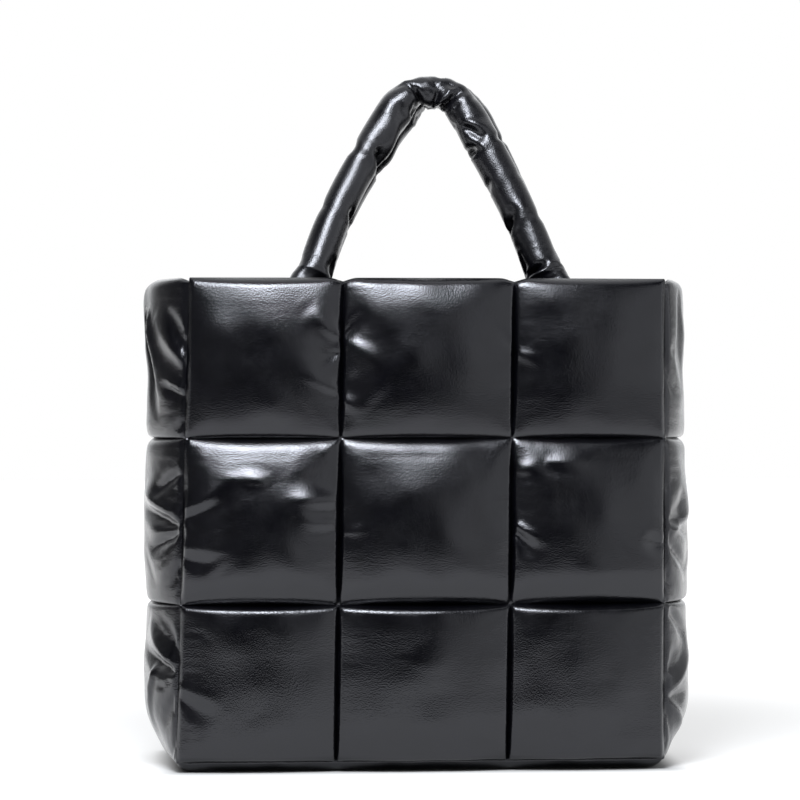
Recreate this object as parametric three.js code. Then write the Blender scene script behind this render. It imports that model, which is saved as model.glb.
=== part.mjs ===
// A quilted puffer tote bag: two padded panels, two padded gussets and a padded base, sewn edge to edge
// into an open box, and two padded tube handles sewn inside the rim.
// Millimetres, +Z up, +X to the right, the front panel faces -Y. The origin is on the floor, under the
// middle of the bag.
import * as THREE from "three";

// Body
const rimHeight = 400;
const rimWidth = 387;
const baseWidth = 396;
const rimDepth = 150;
const baseDepth = 158;
const sideLean = 6; // the rim stands this far to the right of the base
const panelBow = 6; // how far the middle of a panel stands out from its side seams
const leftLowBulge = 22; // how far the middle of the left gusset stands out near the floor
const leftRimBulge = 27; // and at the rim
const rightLowBulge = 27.5;
const rightRimBulge = 18;
const bulgeRise = 75; // the height over which the bow and bulge grow from the straight base seam

// Quilting
const baseSeamHeight = 9;
const lowerRowHeight = 135.5;
const upperRowHeight = 270;
const columnSpacing = 139.5; // between the two upright seams of a panel
const panelPuff = 10.5; // how far a panel's padding stands out of the seams, at the shoulder of a cell
const panelCrown = 3.5; // what the middle of a cell adds to that
const gussetPuff = 6;
const gussetCrown = 1;
const innerPuff = 5; // how far the padding stands into the bag
const quiltRoll = 26; // width of the rounded border of a cell
const innerRoll = 20;
const rimRoll = 12;
const baseRoll = 12;
const rimNotch = 3; // how far the rim dips where an upright seam meets it
const seamThickness = 2.4;
const seamGap = 0.3; // clearance between two pieces that are sewn together

// Handles
const handleSpan = 193.5; // between the two legs of a handle, at the rim
const handleOffset = 6.3; // the front handle's middle stands this far to the right
const rearHandleShift = 8; // the rear handle leans this much further to the right
const rearHandleSpread = 8; // and its legs stand this much further apart
const handleRise = 158; // the handle's centreline above the rim
const handleDiameter = 30;
const legFlare = 2; // what a leg adds to its diameter at the rim
const handleGap = 0.6; // between the two handles where they lean together
const rimClearance = 8; // between a handle leg and the inside of the rim
const tongueReach = 48; // the flattened end of a leg is sewn down this far below the rim
const tongueWidth = 34;
const tongueThickness = 5;
const tongueLean = 6; // a sewn end stands this far further out than the leg at the rim
const tongueGap = 0.3; // clearance between a tongue and the wall it is sewn to

// Rounded borders are drawn with these shares of their width, and what is left of a cell in even steps.
const borderSteps = [0, 0.09, 0.3, 0.75];
const middleSteps = 4;
const baseMiddleSteps = 6;

// The largest folds and dents of the walls. across runs from -1 to 1 over a wall, height and length are
// shares of the rim's height, width of the cell's border and depth of the puff; turn is in degrees.
const wallFolds = [
  { wall: "left_gusset", across: -0.05, height: 0.83, turn: 80, length: 0.16, width: 0.6, depth: 0.7 },
  { wall: "left_gusset", across: -0.45, height: 0.77, turn: -35, length: 0.12, width: 0.5, depth: 0.5 },
  { wall: "left_gusset", across: -0.5, height: 0.5, turn: 30, length: 0.14, width: 0.5, depth: 0.7 },
  { wall: "left_gusset", across: -0.45, height: 0.43, turn: -35, length: 0.12, width: 0.5, depth: 0.5 },
  { wall: "left_gusset", across: -0.4, height: 0.2, turn: 20, length: 0.14, width: 0.6, depth: 0.6 },
  { wall: "right_gusset", across: -0.2, height: 0.85, turn: 85, length: 0.2, width: 0.6, depth: 0.5 },
  { wall: "right_gusset", across: -0.3, height: 0.47, turn: -60, length: 0.12, width: 0.6, depth: 0.5 },
  { wall: "right_gusset", across: -0.5, height: 0.31, turn: 25, length: 0.12, width: 0.5, depth: 0.6 },
  { wall: "right_gusset", across: -0.4, height: 0.16, turn: 30, length: 0.12, width: 0.6, depth: 0.4 },
  { wall: "front_panel", across: -0.82, height: 0.54, turn: 18, length: 0.16, width: 0.5, depth: 0.35 },
  { wall: "front_panel", across: -0.84, height: 0.46, turn: -15, length: 0.14, width: 0.45, depth: 0.3 },
  { wall: "front_panel", across: -0.4, height: 0.87, turn: -50, length: 0.1, width: 0.4, depth: 0.3 },
  { wall: "front_panel", across: -0.3, height: 0.84, turn: -30, length: 0.1, width: 0.4, depth: 0.3 },
  { wall: "front_panel", across: -0.86, height: 0.14, turn: -40, length: 0.1, width: 0.5, depth: 0.3 },
  { wall: "back_panel", across: 0.4, height: 0.85, turn: 40, length: 0.12, width: 0.4, depth: 0.3 },
  { wall: "back_panel", across: -0.8, height: 0.5, turn: -20, length: 0.14, width: 0.5, depth: 0.3 },
];

// The centreline of a handle above the rim. across is a share of the span and rise of the handle's rise.
const handleRoute = [
  { across: -0.5, rise: 0 },
  { across: -0.406, rise: 0.312 },
  { across: -0.286, rise: 0.601 },
  { across: -0.187, rise: 0.797 },
  { across: -0.121, rise: 0.918 },
  { across: -0.046, rise: 0.985 },
  { across: 0.04, rise: 0.995 },
  { across: 0.115, rise: 0.955 },
  { across: 0.172, rise: 0.875 },
  { across: 0.248, rise: 0.702 },
  { across: 0.332, rise: 0.5 },
  { across: 0.418, rise: 0.269 },
  { across: 0.5, rise: 0 },
];

// Where the tube is drawn in. along is the share of the way from one end to the other, reach a share of
// that way too, depth a share of the diameter. inner is 1 where only the inside of the bend gives way.
const handlePinches = [
  { along: 0.21, reach: 0.018, depth: 0.14, inner: 1 },
  { along: 0.31, reach: 0.018, depth: 0.2, inner: 1 },
  { along: 0.478, reach: 0.014, depth: 0.14, inner: 1 },
  { along: 0.51, reach: 0.05, depth: 0.11, inner: 0 },
  { along: 0.555, reach: 0.014, depth: 0.14, inner: 1 },
  { along: 0.64, reach: 0.016, depth: 0.2, inner: 1 },
  { along: 0.705, reach: 0.016, depth: 0.08, inner: 1 },
  { along: 0.79, reach: 0.018, depth: 0.15, inner: 1 },
];
const handleSteps = 54;
const handleSides = 12;

const leather = { color: 0x141416, roughness: 0.36, metalness: 0 };

const clamp01 = (t) => Math.min(1, Math.max(0, t));
const lerp = (from, to, t) => from + (to - from) * t;

// The seams of the body, before any padding
const middleAt = (z) => sideLean * (z / rimHeight - 0.5);
const halfWidthAt = (z) => lerp(baseWidth, rimWidth, z / rimHeight) / 2;
const halfDepthAt = (z) => lerp(baseDepth, rimDepth, z / rimHeight) / 2;
const bellyAt = (z) => Math.sin((Math.PI / 2) * clamp01((z - baseSeamHeight) / bulgeRise));
const rowSeams = [baseSeamHeight, lowerRowHeight, upperRowHeight, rimHeight];
const gussetBulges = { [-1]: [leftLowBulge, leftRimBulge], [1]: [rightLowBulge, rightRimBulge] };
const down = new THREE.Vector3(0, 0, -1);

// Unit normal of a surface place(a, v), turned away from the point inside.
function normalOf(place, a, v, inside) {
  const step = 1e-3;
  const alongA = place(a + step, v).sub(place(a - step, v));
  const alongV = place(a, v + step).sub(place(a, v - step));
  const normal = alongA.cross(alongV).normalize();
  return normal.dot(place(a, v).sub(inside)) < 0 ? normal.negate() : normal;
}

// A panel (side -1 in front, 1 behind) or a gusset (side -1 on the left, 1 on the right): place(a, z) runs
// over its seam surface, with a from -1 to 1 and z the height.
function makeWall(name, isPanel, side) {
  const place = isPanel
    ? (a, z) => {
        const bow = panelBow * (1 - a * a) * bellyAt(z);
        return new THREE.Vector3(middleAt(z) + a * halfWidthAt(z), side * (halfDepthAt(z) + bow), z);
      }
    : (a, z) => {
        const [low, rim] = gussetBulges[side];
        const bulge = lerp(low, rim, z / rimHeight) * (1 - a * a) * bellyAt(z);
        return new THREE.Vector3(middleAt(z) + side * (halfWidthAt(z) + bulge), a * halfDepthAt(z), z);
      };
  const halfSpanAt = isPanel ? halfWidthAt : halfDepthAt;
  const normalAt = (a, z) => normalOf(place, a, z, new THREE.Vector3(middleAt(z), 0, z));
  const columnSeamsAt = (z) => {
    const seam = columnSpacing / 2 / halfWidthAt(z);
    return isPanel ? [-1, -seam, seam, 1] : [-1, 1];
  };
  const puff = isPanel ? panelPuff : gussetPuff;
  const crown = isPanel ? panelCrown : gussetCrown;
  return { name, isPanel, side, puff, crown, place, halfSpanAt, normalAt, columnSeamsAt };
}

const panels = { [-1]: makeWall("front_panel", true, -1), [1]: makeWall("back_panel", true, 1) };
const gussets = { [-1]: makeWall("left_gusset", false, -1), [1]: makeWall("right_gusset", false, 1) };

// Height of a point once the rim dips at the upright seams.
function dippedHeight(wall, a, z) {
  const seams = wall.columnSeamsAt(z);
  const nearest = Math.min(...seams.map((seam) => Math.abs(a - seam))) * wall.halfSpanAt(z);
  const inTopRow = clamp01((z - upperRowHeight) / (rimHeight - upperRowHeight));
  return z - rimNotch * Math.exp(-((nearest / (rimRoll / 2)) ** 2)) * inTopRow ** 4;
}

const roundBorder = (distance, width) => Math.sqrt(1 - (1 - clamp01(distance / width)) ** 2);
const softBorder = (distance, width) => Math.sin((Math.PI / 2) * clamp01(distance / width));

function foldDepth(wall, a, z) {
  let depth = 0;
  for (const fold of wallFolds.filter((row) => row.wall === wall.name)) {
    const across = (a - fold.across) * wall.halfSpanAt(z);
    const up = z - fold.height * rimHeight;
    const turn = THREE.MathUtils.degToRad(fold.turn);
    const along = across * Math.cos(turn) + up * Math.sin(turn);
    const beside = up * Math.cos(turn) - across * Math.sin(turn);
    const far = (along / (fold.length * rimHeight)) ** 2 * 4 + (beside / (fold.width * quiltRoll)) ** 2 * 4;
    depth += fold.depth * wall.puff * Math.exp(-far);
  }
  return depth;
}

// Shares of a cell's length at which it is drawn: close together in its two rounded borders. The coarse
// ones are enough for the inner side.
function cellLines(length, lowRoll, highRoll, steps) {
  const widest = length * 0.45;
  const low = Math.min(lowRoll, widest) / length;
  const high = Math.min(highRoll, widest) / length;
  const last = borderSteps.length - 1;
  const first = borderSteps[last] * low;
  const middle = 1 - borderSteps[last] * (low + high);
  const lines = borderSteps.map((share, i) => ({ share: share * low, coarse: i === 0 || i === last }));
  for (let i = 1; i < steps; i++)
    lines.push({ share: first + (middle * i) / steps, coarse: i * 2 === steps });
  for (let i = last; i > 0; i--) lines.push({ share: 1 - borderSteps[i] * high, coarse: i === last });
  return lines;
}

// The lines of every cell in a row of cells, ending with the far edge of the last one.
function linesOver(lengths, lowRoll, highRoll, steps) {
  const lines = [];
  lengths.forEach((length, cell) => {
    const high = cell === lengths.length - 1 ? highRoll : lowRoll;
    for (const line of cellLines(length, lowRoll, high, steps)) lines.push({ cell, ...line });
  });
  lines.push({ cell: lengths.length - 1, share: 1, coarse: true });
  return lines;
}

// Triangles between two rows of vertices that run the same way, each given as { share, index }.
function zip(first, second, triangles) {
  let i = 0;
  let j = 0;
  while (i < first.length - 1 || j < second.length - 1) {
    const nextFirst = i < first.length - 1 ? first[i + 1].share : Infinity;
    const nextSecond = j < second.length - 1 ? second[j + 1].share : Infinity;
    if (nextFirst <= nextSecond) {
      triangles.push(first[i].index, first[i + 1].index, second[j].index);
      i++;
    } else {
      triangles.push(first[i].index, second[j + 1].index, second[j].index);
      j++;
    }
  }
}

// A grid of vertices, one for each pair of lines, joined by triangles.
function addGrid(points, triangles, columns, rows, pointAt, flip) {
  const start = points.length;
  for (const row of rows) for (const column of columns) points.push(pointAt(column, row));
  const index = (i, j) => start + j * columns.length + i;
  for (let j = 0; j < rows.length - 1; j++) {
    for (let i = 0; i < columns.length - 1; i++) {
      const [a, b, c, d] = [index(i, j), index(i + 1, j), index(i + 1, j + 1), index(i, j + 1)];
      if (flip) triangles.push(a, c, b, a, d, c);
      else triangles.push(a, b, c, a, c, d);
    }
  }
  return index;
}

function geometryOf(points, triangles) {
  const geometry = new THREE.BufferGeometry().setFromPoints(points);
  let volume = 0;
  for (let i = 0; i < triangles.length; i += 3) {
    const [a, b, c] = [points[triangles[i]], points[triangles[i + 1]], points[triangles[i + 2]]];
    volume += a.dot(b.clone().cross(c));
  }
  geometry.setIndex(volume < 0 ? triangles.toReversed() : triangles);
  geometry.computeVertexNormals();
  return geometry;
}

// A closed padded sheet. The outer skin is drawn on all lines, the inner skin on the coarse ones, and the
// two are joined round the four edges.
function paddedSheet(columns, rows, outerPoint, innerPoint) {
  const points = [];
  const triangles = [];
  const coarseColumns = columns.filter((line) => line.coarse);
  const coarseRows = rows.filter((line) => line.coarse);
  const outer = addGrid(points, triangles, columns, rows, outerPoint, false);
  const inner = addGrid(points, triangles, coarseColumns, coarseRows, innerPoint, true);
  const along = (lines, indexOf) =>
    lines.map((line, i) => ({ share: line.cell + line.share, index: indexOf(i) }));
  const [right, innerRight] = [columns.length - 1, coarseColumns.length - 1];
  const [top, innerTop] = [rows.length - 1, coarseRows.length - 1];
  zip(along(coarseColumns, (i) => inner(i, 0)), along(columns, (i) => outer(i, 0)), triangles);
  zip(along(columns, (i) => outer(i, top)), along(coarseColumns, (i) => inner(i, innerTop)), triangles);
  zip(along(rows, (j) => outer(0, j)), along(coarseRows, (j) => inner(0, j)), triangles);
  zip(along(coarseRows, (j) => inner(innerRight, j)), along(rows, (j) => outer(right, j)), triangles);
  return geometryOf(points, triangles);
}

// Where a vertex of a wall lies: its place on the seam surface, its distances to the seams round its cell
// and the direction in which the padding stands out.
function wallVertex(wall, column, row) {
  const onLeft = column.cell === 0 && column.share === 0;
  const onRight = column.share === 1;
  const onBase = row.cell === 0 && row.share === 0;
  const onRim = row.share === 1;
  const low = rowSeams[row.cell];
  const high = rowSeams[row.cell + 1];
  const z = onBase ? low + seamGap / 2 : lerp(low, high, row.share);
  const seams = wall.columnSeamsAt(z);
  const inset = seamGap / 2 / wall.halfSpanAt(z);
  const left = seams[column.cell];
  const right = seams[column.cell + 1];
  const a = onLeft ? -1 + inset : onRight ? 1 - inset : lerp(left, right, column.share);
  const direction = wall.normalAt(a, z);
  if (onLeft || onRight) {
    const end = onLeft ? -1 : 1;
    const neighbour = (wall.isPanel ? gussets : panels)[end];
    direction.copy(wall.normalAt(end, z)).add(neighbour.normalAt(wall.side, z));
  }
  if (onBase) direction.add(down);
  direction.normalize();
  return {
    point: wall.place(a, dippedHeight(wall, a, z)),
    direction,
    onEdge: onLeft || onRight || onBase || onRim,
    toSides: [(a - left) * wall.halfSpanAt(z), (right - a) * wall.halfSpanAt(z)],
    toLow: z - low,
    toHigh: high - z,
    highRoll: row.cell === rowSeams.length - 2 ? rimRoll : quiltRoll,
    crown: Math.sin(Math.PI * column.share) * Math.sin(Math.PI * row.share),
    fold: foldDepth(wall, a, z),
  };
}

function wallOuterPoint(wall, column, row) {
  const at = wallVertex(wall, column, row);
  const border =
    at.toSides.reduce((product, distance) => product * roundBorder(distance, quiltRoll), 1) *
    roundBorder(at.toLow, quiltRoll) *
    roundBorder(at.toHigh, at.highRoll);
  const puff = wall.puff * border + wall.crown * at.crown - at.fold * border;
  const thickness = at.onEdge ? seamThickness / 2 : Math.max(seamThickness / 2, puff);
  return at.point.addScaledVector(at.direction, thickness);
}

function wallInnerPoint(wall, column, row) {
  const at = wallVertex(wall, column, row);
  const border =
    at.toSides.reduce((product, distance) => product * softBorder(distance, innerRoll), 1) *
    softBorder(at.toLow, innerRoll) *
    softBorder(at.toHigh, Math.min(at.highRoll, innerRoll));
  const thickness = at.onEdge ? seamThickness / 2 : Math.max(seamThickness / 2, innerPuff * border);
  return at.point.addScaledVector(at.direction, -thickness);
}

function wallGeometry(wall) {
  const middle = (baseSeamHeight + rimHeight) / 2;
  const seams = wall.columnSeamsAt(middle);
  const widths = seams.slice(1).map((seam, i) => (seam - seams[i]) * wall.halfSpanAt(middle));
  const heights = rowSeams.slice(1).map((seam, i) => seam - rowSeams[i]);
  const columns = linesOver(widths, quiltRoll, quiltRoll, middleSteps);
  const rows = linesOver(heights, quiltRoll, rimRoll, middleSteps);
  return paddedSheet(
    columns,
    rows,
    (column, row) => wallOuterPoint(wall, column, row),
    (column, row) => wallInnerPoint(wall, column, row),
  );
}

// The base is one padded cell. Its underside is flat on the floor inside its rounded border.
function baseVertex(column, row) {
  const halfWidth = halfWidthAt(baseSeamHeight);
  const halfDepth = halfDepthAt(baseSeamHeight);
  const across = column.share * 2 - 1;
  const deep = row.share * 2 - 1;
  const x = across * (halfWidth - seamGap / 2);
  const y = deep * (halfDepth - seamGap / 2);
  const direction = down.clone();
  const onSide = Math.abs(across) === 1;
  const onPanel = Math.abs(deep) === 1;
  if (onSide) direction.add(gussets[across].normalAt(deep, baseSeamHeight));
  if (onPanel) direction.add(panels[deep].normalAt(across, baseSeamHeight));
  return {
    point: new THREE.Vector3(middleAt(baseSeamHeight) + x, y, baseSeamHeight),
    direction: direction.normalize(),
    onEdge: onSide || onPanel,
    distances: [halfWidth - Math.abs(x), halfDepth - Math.abs(y)],
  };
}

function baseGeometry() {
  const columns = linesOver([baseWidth], baseRoll, baseRoll, baseMiddleSteps);
  const rows = linesOver([baseDepth], baseRoll, baseRoll, middleSteps);
  const pointAt = (column, row, outward) => {
    const at = baseVertex(column, row);
    const border = outward > 0 ? roundBorder : softBorder;
    const padding = outward > 0 ? baseSeamHeight : innerPuff;
    const share = border(at.distances[0], baseRoll) * border(at.distances[1], baseRoll);
    const thickness = at.onEdge ? seamThickness / 2 : Math.max(seamThickness / 2, padding * share);
    return at.point.addScaledVector(at.direction, outward * thickness);
  };
  return paddedSheet(
    columns,
    rows,
    (column, row) => pointAt(column, row, 1),
    (column, row) => pointAt(column, row, -1),
  );
}

// How far the inside of a panel lies behind its middle plane y = 0, at the fullest of its inner padding.
function insideDepthAt(x, z) {
  const a = (x - middleAt(z)) / halfWidthAt(z);
  return halfDepthAt(z) + panelBow * (1 - a * a) * bellyAt(z) - innerPuff;
}

// The whole centreline of a handle with its two hidden ends, as stations { point, wide, deep }. wide and
// deep are the half sizes of the section in the plane of the loop and across it.
function handleStations(side, shift, span) {
  const radius = handleDiameter / 2;
  const middle = handleOffset + shift;
  const station = (x, z, depth, wide, deep) => {
    return { point: new THREE.Vector3(x, side * depth, z), wide, deep };
  };
  const hidden = (across) => {
    const x = middle + across * (span + 2 * tongueLean);
    const sewnDepth = (z) => insideDepthAt(x, z) - tongueGap - tongueThickness / 2;
    return [
      { below: 1, thickness: 0, width: 0 },
      { below: 0.6, thickness: 0.02, width: 0 },
      { below: 0.3, thickness: 0.35, width: 0.5 },
    ].map((row) => {
      const z = rimHeight - row.below * tongueReach;
      const deep = lerp(tongueThickness / 2, radius + legFlare / 2, row.thickness);
      const wide = lerp(tongueWidth / 2, radius + legFlare / 2, row.width);
      const inward = deep - tongueThickness / 2 + rimClearance * row.thickness;
      return station(x, z, sewnDepth(z) - inward, wide, deep);
    });
  };
  const rimDepthAt = (across) =>
    insideDepthAt(middle + across * span, rimHeight) - rimClearance - radius - legFlare / 2;
  const legDepth = Math.min(rimDepthAt(-0.5), rimDepthAt(0.5));
  const apexDepth = radius + handleGap / 2;
  const shown = handleRoute.map((row) => {
    const size = radius + (legFlare / 2) * (1 - row.rise);
    const depth = lerp(legDepth, apexDepth, row.rise);
    const x = middle + row.across * span;
    return station(x, rimHeight + row.rise * handleRise, depth, size, size);
  });
  return [...hidden(-0.5), ...shown, ...hidden(0.5).reverse()];
}

// Value of a numeric column of the stations, at a share of the stations' count.
function stationValue(stations, key, place) {
  const i = Math.min(stations.length - 2, Math.floor(place));
  return lerp(stations[i][key], stations[i + 1][key], place - i);
}

function handleGeometry(side, shift, span) {
  const stations = handleStations(side, shift, span);
  const curve = new THREE.CatmullRomCurve3(
    stations.map((station) => station.point),
    false,
    "centripetal",
  );
  const points = [];
  const triangles = [];
  for (let i = 0; i <= handleSteps; i++) {
    const along = i / handleSteps;
    const t = curve.getUtoTmapping(along);
    const centre = curve.getPoint(t);
    const tangent = curve.getTangent(t);
    const outward = new THREE.Vector3(0, 1, 0).cross(tangent).normalize().negate();
    const across = tangent.clone().cross(outward);
    const wide = stationValue(stations, "wide", t * (stations.length - 1));
    const deep = stationValue(stations, "deep", t * (stations.length - 1));
    for (let k = 0; k < handleSides; k++) {
      const angle = (2 * Math.PI * k) / handleSides;
      const inside = clamp01(-Math.cos(angle));
      const drawnIn = handlePinches.reduce((sum, pinch) => {
        const near = Math.exp(-(((along - pinch.along) / pinch.reach) ** 2));
        return sum + near * pinch.depth * 2 * lerp(1, inside, pinch.inner);
      }, 0);
      const reach = 1 - Math.min(0.6, drawnIn);
      const point = centre
        .clone()
        .addScaledVector(outward, wide * Math.cos(angle) * reach)
        .addScaledVector(across, deep * Math.sin(angle));
      points.push(point);
    }
  }
  const ring = (i, k) => i * handleSides + (k % handleSides);
  for (let i = 0; i < handleSteps; i++) {
    for (let k = 0; k < handleSides; k++) {
      const [a, b, c, d] = [ring(i, k), ring(i, k + 1), ring(i + 1, k + 1), ring(i + 1, k)];
      triangles.push(a, b, c, a, c, d);
    }
  }
  for (let k = 1; k < handleSides - 1; k++) {
    triangles.push(ring(0, 0), ring(0, k + 1), ring(0, k));
    triangles.push(ring(handleSteps, 0), ring(handleSteps, k), ring(handleSteps, k + 1));
  }
  return geometryOf(points, triangles);
}

function addPiece(group, name, geometry) {
  const mesh = new THREE.Mesh(geometry, new THREE.MeshStandardMaterial(leather));
  mesh.name = name;
  group.add(mesh);
}

const tote = new THREE.Group();
for (const wall of [panels[-1], panels[1], gussets[-1], gussets[1]]) {
  addPiece(tote, wall.name, wallGeometry(wall));
}
addPiece(tote, "base_panel", baseGeometry());
addPiece(tote, "front_handle", handleGeometry(-1, 0, handleSpan));
const rearSpan = handleSpan + rearHandleSpread;
addPiece(tote, "rear_handle", handleGeometry(1, rearHandleShift, rearSpan));

export default tote;
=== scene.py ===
"""Looks of a quilted puffer tote bag in black faux leather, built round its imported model.

Metres, +Z up, the front panel faces -Y. Every wall is cut as a grid of fabric a little larger than the frame
it is sewn to, then filled and settled as cloth. The handles are padded tubes, settled the same way.
"""

import math

import bpy
import numpy as np
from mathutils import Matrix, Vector


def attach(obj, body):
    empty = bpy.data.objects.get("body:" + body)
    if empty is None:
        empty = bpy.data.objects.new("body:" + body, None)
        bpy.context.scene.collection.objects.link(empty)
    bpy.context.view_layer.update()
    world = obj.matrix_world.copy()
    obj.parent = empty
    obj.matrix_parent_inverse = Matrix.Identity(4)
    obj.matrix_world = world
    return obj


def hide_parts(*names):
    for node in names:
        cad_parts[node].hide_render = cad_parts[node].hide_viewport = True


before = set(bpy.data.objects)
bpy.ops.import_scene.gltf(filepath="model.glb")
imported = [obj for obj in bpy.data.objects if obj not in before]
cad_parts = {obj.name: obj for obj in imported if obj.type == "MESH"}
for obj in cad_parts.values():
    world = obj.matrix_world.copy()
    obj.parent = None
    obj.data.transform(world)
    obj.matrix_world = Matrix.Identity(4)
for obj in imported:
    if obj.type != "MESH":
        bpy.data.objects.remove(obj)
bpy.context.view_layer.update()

# Sizes of the body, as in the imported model
RIM_HEIGHT = 0.400
RIM_WIDTH = 0.387
BASE_WIDTH = 0.396
RIM_DEPTH = 0.150
BASE_DEPTH = 0.158
SIDE_LEAN = 0.006  # how far the rim stands to the right of the base
PANEL_BOW = 0.006  # how far the middle of a panel stands out from its sides
GUSSET_BULGES = {-1: (0.0195, 0.0265), 1: (0.0262, 0.0180)}  # near the floor and at the rim
BULGE_RISE = 0.052  # height over which a wall swells out from the straight base
BASE_SEAM_HEIGHT = 0.009
ROW_SEAMS = (BASE_SEAM_HEIGHT, 0.1355, 0.270, RIM_HEIGHT)
COLUMN_SPACING = 0.1395

# Padding
PANEL_CROWN = 0.0150
GUSSET_CROWN = 0.0075
SEAM_ROLL = 0.0075  # reach of the steep roll beside a cell's lower seam
UPPER_ROLLS = (0.0050, 0.0075, 0.0060)  # beside its upper seam, for each row from the bottom up
SIDE_ROLL = 0.0036  # beside its upright seams
SIDE_ROLL_SHARE = 0.44  # share of the height that comes in that roll
DOME_POWER = 2.2  # a higher power makes the middle of a cell flatter
FOLD_SKEW = 0.6  # below 1, so that a fold is highest near its start
FOLD_ONSET = 2.5  # folds are whole where the padding has 1 / FOLD_ONSET of its height
INNER_PUFF = 0.005
INNER_ROLL = 0.020
RIM_ROLL = 0.012
RIM_NOTCH = 0.003
RIM_THICKNESS = 0.0002
SEAM_LIFT = 0.0006
EDGE_LIFT = 0.0011
SEAM_GAP = 0.0003
DROOP = 0.0022  # how far the filling sags in a full cell
LUMP_HEIGHT = 0.0006

# Fabric and its filling
FABRIC_STEP = 0.0040
BORDER_STEPS = (0.0013, 0.0031, 0.0057)  # the fabric's first lines beside a seam
INNER_STRIDE = 4
EVEN_LOOSENESS = 0.0015
WAVY_LOOSENESS = 0.003
WAVE_LENGTH = 0.05
WAVE_COUNT = 8
FILL_SHARE = 1.15  # how far the filling would push the fabric, over the height as it was cut
LEAST_FILL = 0.002
START_NOISE = 0.0004
PUSH = 0.00002
KEPT_SPEED = 0.96  # share of a point's speed that is left after a step
WALL_STEPS = 260
NORMALS_EVERY = 4  # steps between two updates of the normals

# Base
BASE_ROLL = 0.012
BASE_BORDER_LINES = 9
BASE_LINES = (80, 28)  # over its width and depth
BASE_WAVES = 14
BASE_WAVE_HEIGHT = 0.004
BASE_WAVE_PACES = (60, 260)  # radians to the metre
BASE_STRIDE = 3

# Handles
HANDLE_SPAN = 0.1935
HANDLE_OFFSET = 0.0063
REAR_HANDLE_SHIFT = 0.008
REAR_HANDLE_SPREAD = 0.008
HANDLE_RISE = 0.158
HANDLE_DIAMETER = 0.030
LEG_FLARE = 0.002
HANDLE_GAP = 0.0006
RIM_CLEARANCE = 0.008
TONGUE_REACH = 0.048
TONGUE_WIDTH = 0.034
TONGUE_THICKNESS = 0.005
TONGUE_LEAN = 0.006
TONGUE_GAP = 0.0003
SEWN_SHARE = 0.6  # a tongue is sewn down below this share of its reach
HANDLE_SIDES = 32
RING_STEP = 0.0032
SPLINE_SAMPLES = 24
EVEN_SPARE = 0.001
BEND_SLACK = 0.3  # spare cloth on the inside of a bend, as a share of what the bend takes up
BEND_SPREAD = 0.7  # a smaller power spreads that spare cloth more evenly over the inner side
STRAIGHT_ENOUGH = 0.10  # a gentler bend than this, as radius over radius, stays smooth
HANDLE_FILL_SHARE = 1.03
HANDLE_NOISE = 0.0002
HANDLE_STEPS = 160

SEED = 11


def smooth(t):
    t = np.clip(t, 0, 1)
    return t * t * (3 - 2 * t)


def lerp(low, high, t):
    return low + (high - low) * t


def table(columns, *rows):
    """Rows of values as dictionaries, each value under its column's name."""
    return [dict(zip(columns.split(), row)) for row in rows]


def unit(vectors):
    return vectors / np.maximum(np.linalg.norm(vectors, axis=-1, keepdims=True), 1e-12)


# The body's seams, before any padding
def middle_at(z):
    return SIDE_LEAN * (z / RIM_HEIGHT - 0.5)


def half_width_at(z):
    return lerp(BASE_WIDTH, RIM_WIDTH, z / RIM_HEIGHT) / 2


def half_depth_at(z):
    return lerp(BASE_DEPTH, RIM_DEPTH, z / RIM_HEIGHT) / 2


def belly_at(z):
    return np.sin(np.pi / 2 * np.clip((z - BASE_SEAM_HEIGHT) / BULGE_RISE, 0, 1))


class Wall:
    """A panel (side -1 in front, 1 behind) or a gusset (side -1 on the left, 1 on the right)."""

    def __init__(self, name, is_panel, side):
        self.name, self.is_panel, self.side = name, is_panel, side
        self.crown = PANEL_CROWN if is_panel else GUSSET_CROWN

    def half_span_at(self, z):
        return half_width_at(z) if self.is_panel else half_depth_at(z)

    def place(self, a, z):
        """Points of the seam surface: a runs from -1 to 1 across the wall, z is the height."""
        swell = (1 - a * a) * belly_at(z)
        if self.is_panel:
            x = middle_at(z) + a * half_width_at(z)
            y = self.side * (half_depth_at(z) + PANEL_BOW * swell)
        else:
            bulge = lerp(*GUSSET_BULGES[self.side], z / RIM_HEIGHT)
            x = middle_at(z) + self.side * (half_width_at(z) + bulge * swell)
            y = a * half_depth_at(z)
        return np.stack([x, y, z + 0 * x], -1)

    def normal(self, a, z):
        """Unit normals of the seam surface, pointing out of the bag."""
        step = 1e-4
        along_a = self.place(a + step, z) - self.place(a - step, z)
        along_z = self.place(a, z + step) - self.place(a, z - step)
        normals = unit(np.cross(along_a, along_z))
        out = self.side * (normals[..., 1] if self.is_panel else normals[..., 0])
        return normals * np.sign(out)[..., None]

    def column_seams(self, z):
        """Where the upright seams stand, as values of a, for an array of heights."""
        ones = np.ones_like(z)
        if not self.is_panel:
            return np.stack([-ones, ones], -1)
        seam = COLUMN_SPACING / 2 / half_width_at(z)
        return np.stack([-ones, -seam, seam, ones], -1)


PANELS = {-1: Wall("front_panel", True, -1), 1: Wall("back_panel", True, 1)}
GUSSETS = {-1: Wall("left_gusset", False, -1), 1: Wall("right_gusset", False, 1)}


def fabric_lines(lengths):
    """Cell and share of each grid line over a row of cells, with the index of each seam among them."""
    cells, shares, seams = [0], [0.0], [0]
    for cell, length in enumerate(lengths):
        border = [step / length for step in BORDER_STEPS]
        count = round(length * (1 - 2 * border[-1]) / FABRIC_STEP)
        middle = [lerp(border[-1], 1 - border[-1], i / count) for i in range(1, count)]
        line = [*border, *middle, *(1 - share for share in reversed(border)), 1.0]
        cells += [cell] * len(line)
        shares += line
        seams.append(len(cells) - 1)
    return np.array(cells), np.array(shares), seams


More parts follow.
